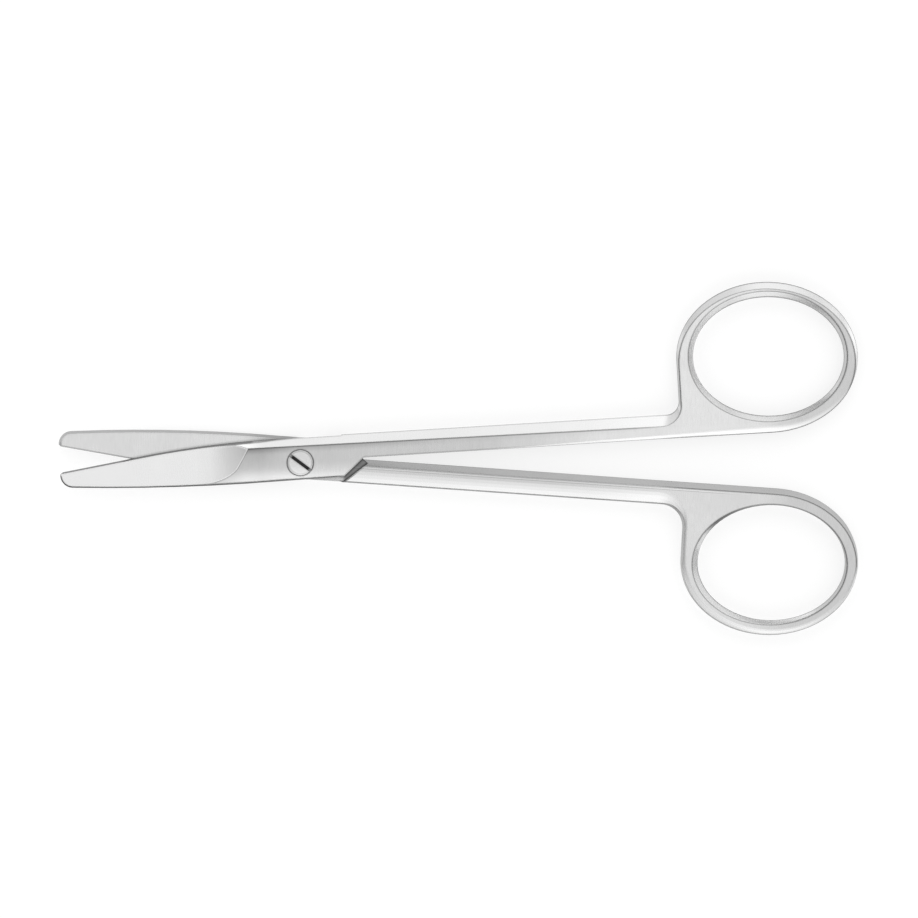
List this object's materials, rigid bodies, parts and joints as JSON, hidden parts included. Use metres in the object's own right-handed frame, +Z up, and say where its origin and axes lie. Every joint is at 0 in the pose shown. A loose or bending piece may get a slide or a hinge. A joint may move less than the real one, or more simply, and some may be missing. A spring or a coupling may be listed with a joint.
{
  "type": "iris scissors",
  "caption": "Slim ring-handled surgical scissors with straight, blunt-nosed blades, a lap joint and a slotted pivot screw.",
  "frame": {"origin": "on the screw's axis, in the plane of the surface that the bottom half lies on", "axes": "+X towards the finger rings, along the line midway between the halves; +Z up, along the screw's axis, out of the slotted end; +Y towards the top half's ring"},
  "size_m": [0.1153, 0.0508, 0.0032],
  "materials": {
    "satin_steel": "fine satin, brushed across the blades",
    "screw_steel": "satin, ground flush with the face around it"
  },
  "bodies": {
    "bottom": {"bottom_half": "satin_steel", "pivot_screw": "screw_steel"},
    "top": {"top_half": "satin_steel"}
  },
  "joints": [
    {"name": "blade_hinge", "type": "hinge", "parent": "bottom", "child": "top", "pos_m": [0, 0, 0.0016], "axis": [0, 0, 1], "range_deg": [-6.5, 105]}
  ]
}
